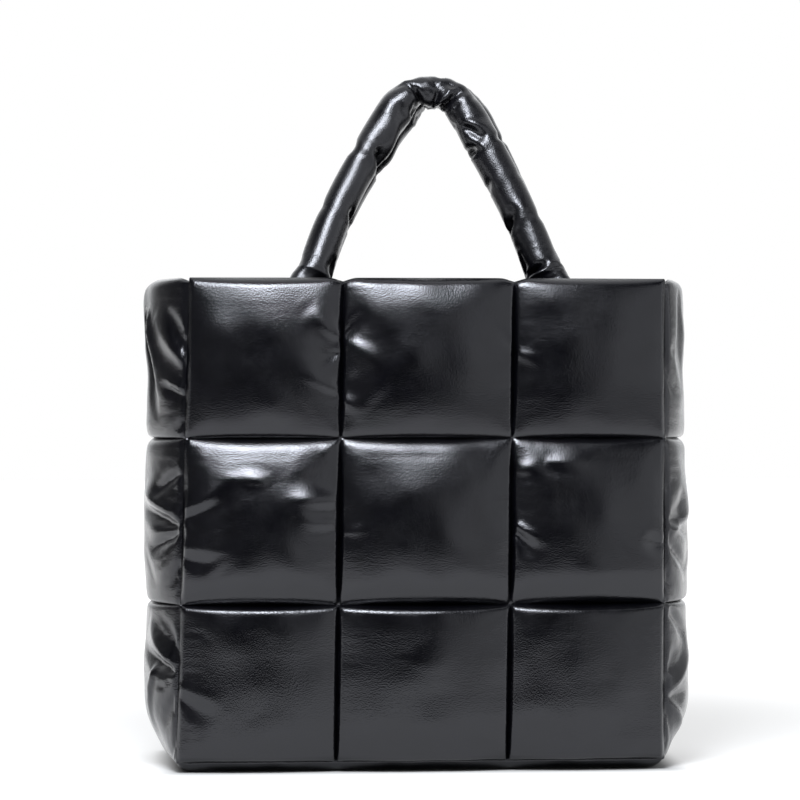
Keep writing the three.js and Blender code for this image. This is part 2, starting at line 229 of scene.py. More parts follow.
# Rows of cells from the bottom up: how full each cell is, how high in it the fullest point lies, and how
# much of its height comes in the roll beside its seams
CELLS = {
    "front_panel": {
        "crown": [[0.74, 0.85, 0.85], [1.2, 1.2, 1.15], [0.95, 0.95, 0.9]],
        "peak": [0.55, 0.28, 0.45],
        "roll": [0.92, 0.26, 0.5],
    },
    "back_panel": {
        "crown": [[0.9, 0.95, 0.9], [1.0, 1.0, 1.0], [0.95, 0.95, 0.95]],
        "peak": [0.55, 0.4, 0.45],
        "roll": [0.6, 0.45, 0.5],
    },
    "left_gusset": {"crown": [[0.9], [1.05], [1.0]], "peak": [0.4, 0.6, 0.85], "roll": [0.75, 0.75, 0.8]},
    "right_gusset": {"crown": [[0.95], [1.1], [1.0]], "peak": [0.4, 0.6, 0.85], "roll": [0.75, 0.75, 0.8]},
}

# Folds of each wall. One starts at (across, height), in metres from the wall's middle and the floor, and runs
# along turn, in degrees. rise is its height, or its depth where it is negative.
FOLDS = {
    "front_panel": table(
        "across height turn length width rise bend",
        (-0.07, 0.352, 138, 0.036, 0.007, 0.0024, 3),
        (-0.07, 0.352, 44, 0.032, 0.005, -0.0022, 2),
        (-0.068, 0.35, -26, 0.048, 0.008, 0.0015, -3),
        (-0.071, 0.34, 190, 0.02, 0.0045, -0.0022, 0),
        (-0.072, 0.308, 142, 0.038, 0.0065, 0.0019, 3),
        (-0.072, 0.303, -20, 0.026, 0.006, 0.0017, -2),
        (-0.071, 0.27, 222, 0.02, 0.004, 0.0022, 0),
        (0.07, 0.341, -20, 0.032, 0.0065, 0.0014, -2),
        (0.069, 0.344, 130, 0.034, 0.0055, -0.0012, 2),
        (-0.197, 0.213, 26, 0.056, 0.009, 0.0021, 2),
        (-0.197, 0.205, 20, 0.052, 0.006, -0.0022, 2),
        (-0.197, 0.184, -6, 0.052, 0.008, 0.0015, 1),
        (-0.197, 0.176, -12, 0.05, 0.007, -0.0014, 1),
        (-0.126, 0.237, 168, 0.05, 0.008, 0.0024, 4),
        (-0.07, 0.22, 170, 0.056, 0.008, 0.003, 2),
        (-0.07, 0.203, 176, 0.038, 0.0055, 0.0022, 0),
        (-0.068, 0.196, 10, 0.03, 0.0055, 0.0014, 0),
        (0.072, 0.245, 12, 0.03, 0.008, 0.0022, 3),
        (0.096, 0.252, 2, 0.046, 0.007, 0.002, 0),
        (0.071, 0.196, -42, 0.028, 0.0045, -0.0022, -4),
        (0.071, 0.202, -30, 0.032, 0.005, 0.002, -3),
        (0.196, 0.184, 168, 0.024, 0.005, -0.0022, 0),
        (-0.197, 0.064, -38, 0.036, 0.006, -0.0014, 2),
        (-0.197, 0.072, -28, 0.04, 0.007, 0.0014, 2),
        (0.07, 0.02, 150, 0.04, 0.006, 0.0012, 2),
    ),
    "back_panel": table(
        "across height turn length width rise bend",
        (0.07, 0.34, 40, 0.036, 0.006, 0.003, 3),
        (0.07, 0.336, 150, 0.04, 0.005, -0.0026, 2),
        (-0.197, 0.2, -14, 0.05, 0.006, 0.003, 1),
        (-0.07, 0.18, 20, 0.04, 0.005, -0.0024, 0),
    ),
    "left_gusset": table(
        "across height turn length width rise bend",
        (-0.006, 0.378, -116, 0.094, 0.006, -0.006, 1),
        (-0.018, 0.378, -116, 0.08, 0.0055, 0.0034, 1),
        (-0.075, 0.331, 50, 0.05, 0.0055, 0.0024, 3),
        (-0.072, 0.345, 62, 0.036, 0.005, -0.0018, 0),
        (-0.076, 0.311, 20, 0.036, 0.0046, 0.003, 0),
        (-0.076, 0.303, 32, 0.044, 0.005, -0.0026, 0),
        (0.004, 0.399, -88, 0.046, 0.016, 0.0036, 0),
        (0.01, 0.345, -88, 0.06, 0.016, -0.004, 0),
        (-0.076, 0.199, 14, 0.08, 0.0055, -0.005, 0),
        (-0.076, 0.209, 20, 0.07, 0.0055, 0.0036, 0),
        (-0.076, 0.193, -16, 0.05, 0.0045, -0.0036, 0),
        (-0.076, 0.243, -28, 0.04, 0.0045, -0.0026, 0),
        (-0.077, 0.083, 8, 0.07, 0.005, -0.0048, 2),
        (-0.077, 0.09, 24, 0.06, 0.0055, 0.004, 2),
        (-0.046, 0.086, -72, 0.06, 0.005, 0.0032, 0),
    ),
    "right_gusset": table(
        "across height turn length width rise bend",
        (-0.05, 0.392, -86, 0.09, 0.008, -0.0026, 0),
        (-0.015, 0.388, -94, 0.08, 0.008, -0.0024, 0),
        (0.01, 0.399, -88, 0.042, 0.016, 0.0044, 0),
        (-0.074, 0.206, -18, 0.06, 0.006, -0.0034, 0),
        (-0.074, 0.194, 22, 0.056, 0.006, 0.003, 0),
        (-0.074, 0.184, -30, 0.05, 0.005, -0.0028, 0),
        (-0.074, 0.13, -34, 0.044, 0.0055, -0.0034, 0),
        (-0.076, 0.064, 36, 0.06, 0.006, 0.0034, 0),
        (-0.076, 0.06, 4, 0.05, 0.005, -0.0028, 0),
        (-0.076, 0.056, -36, 0.05, 0.0055, 0.003, 0),
    ),
}

# Where the fabric of each wall was gathered into a seam: place, reach and how much longer it is there
GATHERS = {
    "front_panel": table(
        "across height reach spare",
        (-0.07, 0.35, 0.024, 0.016),
        (-0.07, 0.306, 0.018, 0.012),
        (0.07, 0.339, 0.018, 0.008),
        (-0.19, 0.205, 0.026, 0.012),
        (-0.19, 0.176, 0.022, 0.012),
        (-0.09, 0.21, 0.026, 0.012),
        (0.07, 0.19, 0.02, 0.014),
        (0.19, 0.186, 0.018, 0.014),
        (-0.192, 0.058, 0.02, 0.007),
    ),
    "back_panel": table(
        "across height reach spare",
        (0.07, 0.338, 0.024, 0.02),
        (-0.19, 0.2, 0.026, 0.02),
        (-0.07, 0.18, 0.02, 0.016),
    ),
    "left_gusset": table(
        "across height reach spare",
        (-0.06, 0.33, 0.04, 0.021),
        (0.04, 0.3, 0.04, 0.02),
        (-0.06, 0.2, 0.03, 0.025),
        (-0.06, 0.075, 0.03, 0.025),
    ),
    "right_gusset": table(
        "across height reach spare",
        (-0.06, 0.35, 0.03, 0.014),
        (0.04, 0.33, 0.035, 0.02),
        (-0.06, 0.195, 0.028, 0.022),
        (-0.06, 0.125, 0.022, 0.018),
        (-0.065, 0.06, 0.03, 0.022),
    ),
}


def fold_profile(fold, right, up):
    """A fold's share of its height at a place given by its distances from where the fold starts."""
    turn = math.radians(fold["turn"])
    along = right * math.cos(turn) + up * math.sin(turn)
    beside = up * math.cos(turn) - right * math.sin(turn)
    share = np.clip(along / fold["length"], 0, 1)
    width = fold["width"] * (0.5 + share)
    beside = beside - fold["bend"] * along * along
    return np.sin(np.pi * share**FOLD_SKEW) * np.exp(-((beside / width) ** 2))


def fold_height(wall, across, z):
    """How far the folds of a wall stand out of its padding."""
    total = np.zeros_like(across)
    for fold in FOLDS[wall.name]:
        total += fold["rise"] * fold_profile(fold, across - fold["across"], z - fold["height"])
    return total


def pillow_profile(low, high, peak, low_roll, high_roll, part):
    """1 at the peak and 0 at both seams: part of the height in a quick roll, the rest in a shallow dome."""
    share = low / (low + high)
    x = np.where(share < peak, share / peak, (1 - share) / (1 - peak))
    dome = 1 - (1 - x) ** DOME_POWER
    roll = roll_share(low, low_roll) * roll_share(high, high_roll)
    return roll * lerp(part, 1, dome)


def roll_share(distance, roll):
    return np.sqrt(1 - (1 - np.clip(distance / roll, 0, 1)) ** 2)


def sewn_grid(wall):
    """The wall's seam surface on the fabric's grid, with where each point lies in its quilted cell."""
    middle = np.array((BASE_SEAM_HEIGHT + RIM_HEIGHT) / 2)
    spans = np.diff(wall.column_seams(middle)) * wall.half_span_at(middle)
    column_cell, column_share, column_seams = fabric_lines(spans)
    row_cell, row_share, row_seams = fabric_lines(np.diff(ROW_SEAMS))
    seams = np.array(ROW_SEAMS)
    z = lerp(seams[row_cell], seams[row_cell + 1], row_share)
    z[0] += SEAM_GAP / 2
    ends = wall.column_seams(z)
    a = lerp(ends[:, column_cell], ends[:, column_cell + 1], column_share)
    span = wall.half_span_at(z)[:, None]
    a[:, 0] += SEAM_GAP / 2 / span[:, 0]
    a[:, -1] -= SEAM_GAP / 2 / span[:, 0]
    z = np.broadcast_to(z[:, None], a.shape)
    left, right = ends[:, column_cell], ends[:, column_cell + 1]
    grid = {
        "a": a, "z": z, "across": a * span,
        "row_cell": row_cell, "row_seams": row_seams,
        "column_cell": column_cell, "column_seams": column_seams,
        "to_left": (a - left) * span, "to_right": (right - a) * span,
        "to_low": z - seams[row_cell][:, None], "to_high": seams[row_cell + 1][:, None] - z,
    }
    if wall.is_panel:
        nearest = np.abs(np.abs(grid["across"]) - COLUMN_SPACING / 2)
    else:
        nearest = np.minimum(grid["to_left"], grid["to_right"])
    in_top = np.clip((z - ROW_SEAMS[2]) / (RIM_HEIGHT - ROW_SEAMS[2]), 0, 1)
    dip = RIM_NOTCH * np.exp(-((nearest / (RIM_ROLL / 2)) ** 2)) * in_top**4
    grid["place"] = wall.place(a, z) - np.stack([0 * dip, 0 * dip, dip], -1)
    grid["out"] = edge_directions(wall, a, z)
    return grid


def edge_directions(wall, a, z):
    """The wall's normals, turned halfway to the neighbour's along the seams that it shares."""
    out = wall.normal(a, z)
    neighbours = GUSSETS if wall.is_panel else PANELS
    for end, column in ((-1, 0), (1, -1)):
        out[:, column] += neighbours[end].normal(np.full(len(z), float(wall.side)), z[:, column])
    out[0] += np.array([0, 0, -1.0])
    return unit(out)


def pillow_height(wall, grid):
    """Height of the padding over the seam surface, as it was cut."""
    cells = CELLS[wall.name]
    crown = wall.crown * np.array(cells["crown"])[grid["row_cell"][:, None], grid["column_cell"][None]]
    peak = np.array(cells["peak"])[grid["row_cell"]][:, None]
    upper_roll = np.array(UPPER_ROLLS)[grid["row_cell"]][:, None]
    part = np.array(cells["roll"])[grid["row_cell"]][:, None]
    up = pillow_profile(grid["to_low"], grid["to_high"], peak, SEAM_ROLL, upper_roll, part)
    across = pillow_profile(grid["to_left"], grid["to_right"], 0.5, SIDE_ROLL, SIDE_ROLL, SIDE_ROLL_SHARE)
    dome = up * across
    return crown * dome + fold_height(wall, grid["across"], grid["z"]) * smooth(dome * FOLD_ONSET)


class Cloth:
    """Fabric points on a grid, and the links that keep its threads at their cut length."""

    LINKS = (
        (0, 1, 0.0), (1, 0, 0.0), (1, 1, 0.5), (1, -1, 0.5),
        (0, 2, 0.6), (2, 0, 0.6), (0, 4, 1.0), (4, 0, 1.0),
    )

    def __init__(self, cut, sewn, looseness, closed=False):
        """A closed grid is a tube: looseness then lengthens it along the tube only."""
        rows, columns = cut.shape[:2]
        self.cut, self.shape, self.closed = cut, cut.shape, closed
        self.free = (~sewn).reshape(-1).astype(float)
        index = np.arange(rows * columns).reshape(rows, columns)
        flat, spare = cut.reshape(-1, 3), looseness.reshape(-1)
        self.links = []
        for down, across, softness in self.LINKS:
            row, column = np.mgrid[0:rows - down, 0:columns]
            reach = max(down, abs(across))
            keep = np.ones_like(row, bool)
            if not closed:
                keep = (column + across >= 0) & (column + across < columns)
            if reach > 1:  # a long link never spans a seam
                for part in range(reach + 1):
                    keep &= ~sewn[row + part * (down > 0), (column + part * (across > 0)) % columns]
            turn = (column // abs(across)) % 2 if down == 0 else (row // down) % 2
            second = index[row + down, (column + across) % columns]
            for half in (0, 1):
                chosen = keep & (turn == half)
                one, two = index[row, column][chosen], second[chosen]
                loose = self.free[one] + self.free[two]
                one, two = one[loose > 0], two[loose > 0]
                total = self.free[one] + self.free[two] + softness
                length = np.linalg.norm(flat[two] - flat[one], axis=-1)
                if down > 0 or not closed:
                    length = length * (1 + (spare[one] + spare[two]) / 2)
                self.links.append((one, two, length, self.free[one] / total, self.free[two] / total))

    def normals(self, points):
        grid = points.reshape(self.shape)
        down = np.gradient(grid, axis=0)
        if self.closed:
            across = (np.roll(grid, -1, axis=1) - np.roll(grid, 1, axis=1)) / 2
        else:
            across = np.gradient(grid, axis=1)
        return unit(np.cross(across, down)).reshape(-1, 3)

    def settle(self, start, backing, out, fill, steps, hold=None):
        """The fabric's shape once its filling has pushed it out as far as the cut lengths let it."""
        points = start.reshape(-1, 3).copy()
        before = points.copy()
        backing, out = backing.reshape(-1, 3), out.reshape(-1, 3)
        fill = fill.reshape(-1)
        side = float(np.sign((self.normals(self.cut) * out).sum(-1).mean()))
        free = self.free[:, None]
        for step in range(steps):
            if step % NORMALS_EVERY == 0:
                normals = self.normals(points) * side
            height = ((points - backing) * out).sum(-1)
            push = np.clip(1 - height / fill, -1, 1) * PUSH
            speed = (points - before) * KEPT_SPEED
            before = points.copy()
            points += free * (speed + normals * push[:, None])
            for one, two, length, share_one, share_two in self.links:
                gap = points[two] - points[one]
                size = np.sqrt((gap * gap).sum(-1))
                pull = (1 - length / size)[:, None] * gap
                points[one] += share_one[:, None] * pull
                points[two] -= share_two[:, None] * pull
            if hold is not None:
                points = hold(points)
        return points.reshape(self.shape)


def refine(points, seams):
    """Twice as many lines along the first axis, curved through the old ones except across a seam."""
    parts = []
    for first, last in zip(seams, seams[1:]):
        block = points[first : last + 1]
        low = 2 * block[:1] - block[1:2]
        high = 2 * block[-1:] - block[-2:-1]
        padded = np.concatenate([low, block, high])
        halfway = (9 * (padded[1:-2] + padded[2:-1]) - padded[:-3] - padded[3:]) / 16
        woven = np.empty((len(block) * 2 - 2, *block.shape[1:]))
        woven[0::2] = block[:-1]
        woven[1::2] = halfway
        parts.append(woven)
    return np.concatenate([*parts, points[-1:]])


def refine_both(points, row_seams, column_seams):
    fine = refine(points, row_seams)
    return refine(fine.swapaxes(0, 1), column_seams).swapaxes(0, 1)


def wall_outer(wall, grid):
    """The outer fabric, cut as the folds and the padding ask, and then settled."""
    height = pillow_height(wall, grid)
    lumps = soft_waves(grid, np.random.default_rng(SEED + 1 + wall.is_panel))
    height += LUMP_HEIGHT * lumps * np.clip(height / wall.crown, 0, 1)
    sewn = np.zeros(height.shape, bool)
    sewn[grid["row_seams"]] = True
    sewn[:, grid["column_seams"]] = True
    height = np.where(sewn, SEAM_LIFT, np.maximum(height, SEAM_LIFT))
    height[:, [0, -1]] = EDGE_LIFT
    height[0] = EDGE_LIFT
    height[-1] = 0
    cut = grid["place"] + grid["out"] * height[..., None]
    drop = DROOP * np.clip(height / wall.crown, 0, 1)
    cut[..., 2] -= np.where(sewn, 0, drop)
    rng = np.random.default_rng(SEED)
    start = cut + grid["out"] * (rng.normal(0, START_NOISE, height.shape) * ~sewn)[..., None]
    cloth = Cloth(cut, sewn, looseness(wall, grid, rng))
    fill = np.maximum(height * FILL_SHARE, LEAST_FILL)
    return cloth.settle(start, grid["place"], grid["out"], fill, WALL_STEPS)


def soft_waves(grid, rng):
    """A slow random swell over the wall, mostly from -1 to 1."""
    waves = np.zeros(grid["a"].shape)
    for _ in range(WAVE_COUNT):
        turn, phase = rng.uniform(0, 2 * np.pi, 2)
        pace = 2 * np.pi / WAVE_LENGTH * rng.uniform(0.6, 1.4)
        waves += np.sin(pace * (grid["across"] * np.cos(turn) + grid["z"] * np.sin(turn)) + phase)
    return waves / 3


def looseness(wall, grid, rng):
    """How much longer the fabric is at each point than the padding needs, as a share."""
    spare = EVEN_LOOSENESS + WAVY_LOOSENESS * np.clip(soft_waves(grid, rng), 0, 1)
    for gather in GATHERS[wall.name]:
        right = (grid["across"] - gather["across"]) / gather["reach"]
        up = (grid["z"] - gather["height"]) / gather["reach"]
        spare = spare + gather["spare"] * np.exp(-right * right - up * up)
    return spare


def wall_inner(grid):
    """The inner fabric: one soft swell over each cell, close behind the seam surface."""
    def soft(distance, roll):
        return np.sin(np.pi / 2 * np.clip(distance / roll, 0, 1))

    share = soft(grid["to_left"], INNER_ROLL) * soft(grid["to_right"], INNER_ROLL)
    share = share * soft(grid["to_low"], INNER_ROLL) * soft(grid["to_high"], RIM_ROLL)
    thickness = np.maximum(EDGE_LIFT, INNER_PUFF * share)
    thickness[-1] = RIM_THICKNESS
    return grid["place"] - grid["out"] * thickness[..., None]


def coarse_lines(seams, stride):
    """Every stride-th line between the seams, and the seams."""
    lines = []
    for first, last in zip(seams, seams[1:]):
        count = max(1, round((last - first) / stride))
        lines += [first + round((last - first) * i / count) for i in range(count)]
    return lines + [seams[-1]]


def closed_sheet(outer, inner, rows, columns):
    """Vertices and faces of a padded sheet: inner lies on the given rows and columns of outer's grid."""
    tall, wide = outer.shape[:2]
    points = np.concatenate([outer.reshape(-1, 3), inner[np.ix_(rows, columns)].reshape(-1, 3)])
    top = np.arange(tall * wide).reshape(tall, wide)
    under = tall * wide + np.arange(len(rows) * len(columns)).reshape(len(rows), len(columns))
    corners = (top[:-1, :-1], top[:-1, 1:], top[1:, 1:], top[1:, :-1])
    faces = np.stack([c.reshape(-1) for c in corners], -1).tolist()
    corners = (under[:-1, :-1], under[1:, :-1], under[1:, 1:], under[:-1, 1:])
    faces += np.stack([c.reshape(-1) for c in corners], -1).tolist()
    edges = (
        (top[0], under[0], columns, False), (top[-1], under[-1], columns, True),
        (top[:, 0], under[:, 0], rows, True), (top[:, -1], under[:, -1], rows, False),
    )
    for fine, coarse, lines, flip in edges:
        for i, (first, last) in enumerate(zip(lines, lines[1:])):
            face = [*fine[first : last + 1][::-1].tolist(), int(coarse[i]), int(coarse[i + 1])]
            faces.append(face[::-1] if flip else face)
    return points, faces


def add_mesh(name, points, faces, material, flip=False):
    mesh = bpy.data.meshes.new(name)
    mesh.from_pydata(points.tolist(), [], [face[::-1] for face in faces] if flip else faces)
    mesh.polygons.foreach_set("use_smooth", [True] * len(mesh.polygons))
    mesh.materials.append(material)
    mesh.update()
    piece = bpy.data.objects.new(name, mesh)
    bpy.context.scene.collection.objects.link(piece)
    return piece


def mark_seams(mesh, vertices):
    """Sharp edges wherever both ends of an edge lie on a seam, so that the groove shades as a fold."""
    on_seam = np.zeros(len(mesh.vertices), bool)
    on_seam[vertices] = True
    ends = np.zeros(len(mesh.edges) * 2, np.int32)
    mesh.edges.foreach_get("vertices", ends)
    sharp = on_seam[ends.reshape(-1, 2)].all(-1)
    layer = mesh.attributes.new("sharp_edge", "BOOLEAN", "EDGE")
    layer.data.foreach_set("value", sharp)


def build_wall(wall, material):
    grid = sewn_grid(wall)
    outer = wall_outer(wall, grid)
    rows, columns = grid["row_seams"], grid["column_seams"]
    fine_outer = refine_both(outer, rows, columns)
    fine_inner = refine_both(wall_inner(grid), rows, columns)
    fine_rows = [2 * row for row in rows]
    fine_columns = [2 * column for column in columns]
    inner_rows = coarse_lines(fine_rows, INNER_STRIDE * 2)
    inner_columns = coarse_lines(fine_columns, INNER_STRIDE * 2)
    points, faces = closed_sheet(fine_outer, fine_inner, inner_rows, inner_columns)
    flip = wall.side > 0 if wall.is_panel else wall.side < 0
    piece = add_mesh("skin_" + wall.name, points, faces, material, flip)
    index = np.arange(fine_outer.shape[0] * fine_outer.shape[1]).reshape(fine_outer.shape[:2])
    mark_seams(piece.data, np.concatenate([index[fine_rows].ravel(), index[:, fine_columns].ravel()]))
    return piece


# The centreline of a handle above the rim: shares of the span and of the rise, and how thick it is there
HANDLE_ROUTE = table(
    "across rise thick",
    (-0.5, 0, 1.12),
    (-0.406, 0.312, 0.93),
    (-0.286, 0.601, 0.92),
    (-0.187, 0.797, 0.97),
    (-0.121, 0.918, 1),
    (-0.046, 0.985, 0.85),
    (0.04, 0.995, 0.85),
    (0.115, 0.955, 0.92),
    (0.172, 0.875, 1.02),
    (0.248, 0.702, 1.04),
    (0.332, 0.5, 1),
    (0.418, 0.269, 1),
    (0.5, 0, 1.12),
)

# A sewn end, from the bottom up: how far it is below the rim, as a share of the tongue's reach, and how far
# its thickness and width have gone from the tongue's to the foot's
TONGUE_ROUTE = table(
    "below thickness width",
    (1, 0, 0),
    (0.6, 0.02, 0),
    (0.3, 0.35, 0.5),
)

# Folds of a handle. One starts at along (metres from the handle's first sewn end) and around (degrees from
# the outer side of the loop, 90 in front) and runs along turn, 0 being along the tube.
HANDLE_FOLDS = table(
    "along around turn length width rise bend",
    (0.112, 195, 60, 0.022, 0.0036, -0.005, 0),
    (0.164, 200, 50, 0.03, 0.0042, -0.0098, 6),
    (0.176, 190, 30, 0.04, 0.005, 0.002, 0),
    (0.242, 205, 90, 0.052, 0.0026, -0.0075, 2),
    (0.258, 200, 90, 0.046, 0.0018, -0.0036, -2),
    (0.266, 205, 68, 0.05, 0.0028, -0.007, 4),
    (0.262, 150, 62, 0.03, 0.0028, 0.0034, 4),
    (0.303, 128, 40, 0.03, 0.0042, -0.0042, -4),
    (0.297, 118, 40, 0.028, 0.0044, 0.0026, -4),
    (0.322, 200, 86, 0.026, 0.0038, -0.008, 0),
    (0.358, 200, 100, 0.02, 0.0036, -0.003, 0),
    (0.4, 200, 118, 0.034, 0.004, -0.007, 0),
    (0.392, 150, 110, 0.026, 0.006, 0.0022, 0),
    (0.44, 165, 94, 0.026, 0.0026, -0.006, 0),
    (0.445, 160, 94, 0.026, 0.0024, 0.003, 0),
)


def handle_stations(side, shift, span):
    """Centre points of a handle from one sewn end to the other, with half its width and depth at each."""
    radius = HANDLE_DIAMETER / 2
    foot = radius + LEG_FLARE / 2

    def inside_depth(x, z):
        a = (x - middle_at(z)) / half_width_at(z)
        return half_depth_at(z) + PANEL_BOW * (1 - a * a) * belly_at(z) - INNER_PUFF

    def sewn_end(across):
        rows = []
        x = HANDLE_OFFSET + shift + across * (span + 2 * TONGUE_LEAN)
        for row in TONGUE_ROUTE:
            z = RIM_HEIGHT - row["below"] * TONGUE_REACH
            deep = lerp(TONGUE_THICKNESS / 2, foot, row["thickness"])
            depth = inside_depth(x, z) - TONGUE_GAP - deep - RIM_CLEARANCE * row["thickness"]
            rows.append((x, side * depth, z, lerp(TONGUE_WIDTH / 2, foot, row["width"]), deep))
        return rows

    ends = [HANDLE_OFFSET + shift + across * span for across in (-0.5, 0.5)]
    leg_depth = min(inside_depth(x, RIM_HEIGHT) for x in ends) - RIM_CLEARANCE - foot
    shown = []
    for row in HANDLE_ROUTE:
        depth = lerp(leg_depth, radius + HANDLE_GAP / 2, row["rise"])
        half = row["thick"] * radius
        x = HANDLE_OFFSET + shift + row["across"] * span
        shown.append((x, side * depth, RIM_HEIGHT + row["rise"] * HANDLE_RISE, half, half))
    return np.array([*sewn_end(-0.5), *shown, *reversed(sewn_end(0.5))])


def spline(stations, samples):
    """Dense rows along the centripetal spline through the stations' centres, sizes going evenly between."""
    points = stations[:, :3]
    points = np.concatenate([2 * points[:1] - points[1:2], points, 2 * points[-1:] - points[-2:-1]])
    rows = []
    for i in range(len(stations) - 1):
        p0, p1, p2, p3 = points[i : i + 4]
        t0, t1, t2 = (np.linalg.norm(b - a) ** 0.5 for a, b in ((p0, p1), (p1, p2), (p2, p3)))
        leave = ((p1 - p0) / t0 - (p2 - p0) / (t0 + t1) + (p2 - p1) / t1) * t1
        arrive = ((p2 - p1) / t1 - (p3 - p1) / (t1 + t2) + (p3 - p2) / t2) * t1
        for t in np.arange(samples) / samples:
            centre = (
                (2 * t**3 - 3 * t**2 + 1) * p1 + (t**3 - 2 * t**2 + t) * leave
                + (3 * t**2 - 2 * t**3) * p2 + (t**3 - t**2) * arrive
            )
            rows.append([*centre, *lerp(stations[i, 3:], stations[i + 1, 3:], t)])
    rows.append(stations[-1])
    return np.array(rows)


def even_rings(rows, step):
    """The spline's rows, spread evenly along it."""
    walked = np.concatenate([[0], np.cumsum(np.linalg.norm(np.diff(rows[:, :3], axis=0), axis=1))])
    count = round(walked[-1] / step)
    places = np.linspace(0, walked[-1], count + 1)
    return np.stack([np.interp(places, walked, rows[:, k]) for k in range(rows.shape[1])], -1), places


def tube_points(centres, outward, across, wide, deep, angles):
    """Rings of points round the centres, wide along outward and deep along across."""
    return (
        centres[:, None]
        + outward[:, None] * (wide * np.cos(angles))[..., None]
        + across[:, None] * (deep * np.sin(angles))[..., None]
    )


def settle_handle(cut, centres, spare, rng):
    """The handle once its filling has pushed it out. Each ring stays round the place where it was cut."""
    hidden = centres[:, 2] < RIM_HEIGHT - TONGUE_REACH * SEWN_SHARE
    sewn = np.broadcast_to(hidden[:, None], cut.shape[:2])
    cloth = Cloth(cut, sewn, spare, closed=True)
    axis = np.broadcast_to(centres[:, None], cut.shape)
    fill = np.linalg.norm(cut - axis, axis=-1) * HANDLE_FILL_SHARE
    start = cut + rng.normal(0, HANDLE_NOISE, cut.shape) * ~sewn[..., None]

    def hold(points):
        rings = points.reshape(cut.shape)
        drift = rings.mean(1, keepdims=True) - centres[:, None]
        return (rings - drift * ~hidden[:, None, None]).reshape(-1, 3)

    return cloth.settle(start, axis, unit(cut - axis), fill, HANDLE_STEPS, hold)


def refine_tube(rings):
    """Twice as many rings, and twice as many points in each."""
    turned = refine(rings, [0, len(rings) - 1]).swapaxes(0, 1)
    sides = len(turned)
    wrapped = np.concatenate([turned[-2:], turned, turned[:3]])
    return refine(wrapped, [0, len(wrapped) - 1])[4 : 4 + 2 * sides].swapaxes(0, 1)


def tube_faces(rings, sides):
    index = np.arange(rings * sides).reshape(rings, sides)
    beside = np.roll(index, -1, 1)
    corners = (index[:-1], beside[:-1], beside[1:], index[1:])
    faces = np.stack([c.reshape(-1) for c in corners], -1).tolist()
    return faces + [index[0, ::-1].tolist(), index[-1].tolist()]


def build_handle(name, side, shift, span, material):
    rows, places = even_rings(spline(handle_stations(side, shift, span), SPLINE_SAMPLES), RING_STEP)
    centres, wide, deep = rows[:, :3], rows[:, 3:4], rows[:, 4:5]
    tangent = unit(np.gradient(centres, axis=0))
    outward = -unit(np.cross([0, 1.0, 0], tangent))
    across = np.cross(tangent, outward)
    angles = 2 * np.pi * np.arange(HANDLE_SIDES)[None] / HANDLE_SIDES
    swell = handle_folds(angles, places[:, None])
    rings = tube_points(centres, outward, across, wide + swell, deep + swell, angles)
    turning = np.linalg.norm(np.gradient(tangent, axis=0), axis=1)[:, None] / RING_STEP
    inside = np.clip(-np.cos(angles), 0, 1) ** BEND_SPREAD
    spare = EVEN_SPARE + BEND_SLACK * np.clip(wide * turning - STRAIGHT_ENOUGH, 0, None) * inside
    rings = settle_handle(rings, centres, spare, np.random.default_rng(SEED + (side > 0)))
    rings = refine_tube(rings)
    return add_mesh("skin_" + name, rings.reshape(-1, 3), tube_faces(*rings.shape[:2]), material)


def handle_folds(angles, places):
    """How far the folds of a handle stand out of its round section."""
    total = np.zeros(np.broadcast_shapes(angles.shape, places.shape))
    for fold in HANDLE_FOLDS:
        around = (angles - math.radians(fold["around"]) + np.pi) % (2 * np.pi) - np.pi
        right = places - fold["along"]
        up = -around * HANDLE_DIAMETER / 2
        total += fold["rise"] * fold_profile(fold, right, up)
    return total


def base_lines(half, count):
    """Places from -1 to 1 across the base, closer together where it rounds up to its seam."""
    border = BASE_ROLL * (1 - np.cos(np.pi / 2 * np.arange(BASE_BORDER_LINES) / BASE_BORDER_LINES))
    middle = np.linspace(BASE_ROLL, 2 * half - BASE_ROLL, count)
    return np.concatenate([border, middle, 2 * half - border[::-1]]) / half - 1


def base_directions(across, deep):
    """Straight down, turned halfway to the walls' normals along the seam."""
    out = np.zeros((len(deep), len(across), 3))
    out[..., 2] = -1
    for side, line in ((-1, 0), (1, -1)):
        out[:, line] += GUSSETS[side].normal(deep, np.full(len(deep), BASE_SEAM_HEIGHT))
    for side, line in ((-1, 0), (1, -1)):
        out[line] += PANELS[side].normal(across, np.full(len(across), BASE_SEAM_HEIGHT))
    return unit(out)


def base_waves(x, y):
    """A slight random swell where the base rounds up, from -1 to 1."""
    rng = np.random.default_rng(SEED + 5)
    waves = np.zeros_like(x)
    for _ in range(BASE_WAVES):
        pace, phase, lean = rng.uniform(*BASE_WAVE_PACES), rng.uniform(0, 6.28), rng.uniform(-0.5, 0.5)
        waves += np.sin(pace * (x + lean * y) + phase) / BASE_WAVES
    return waves


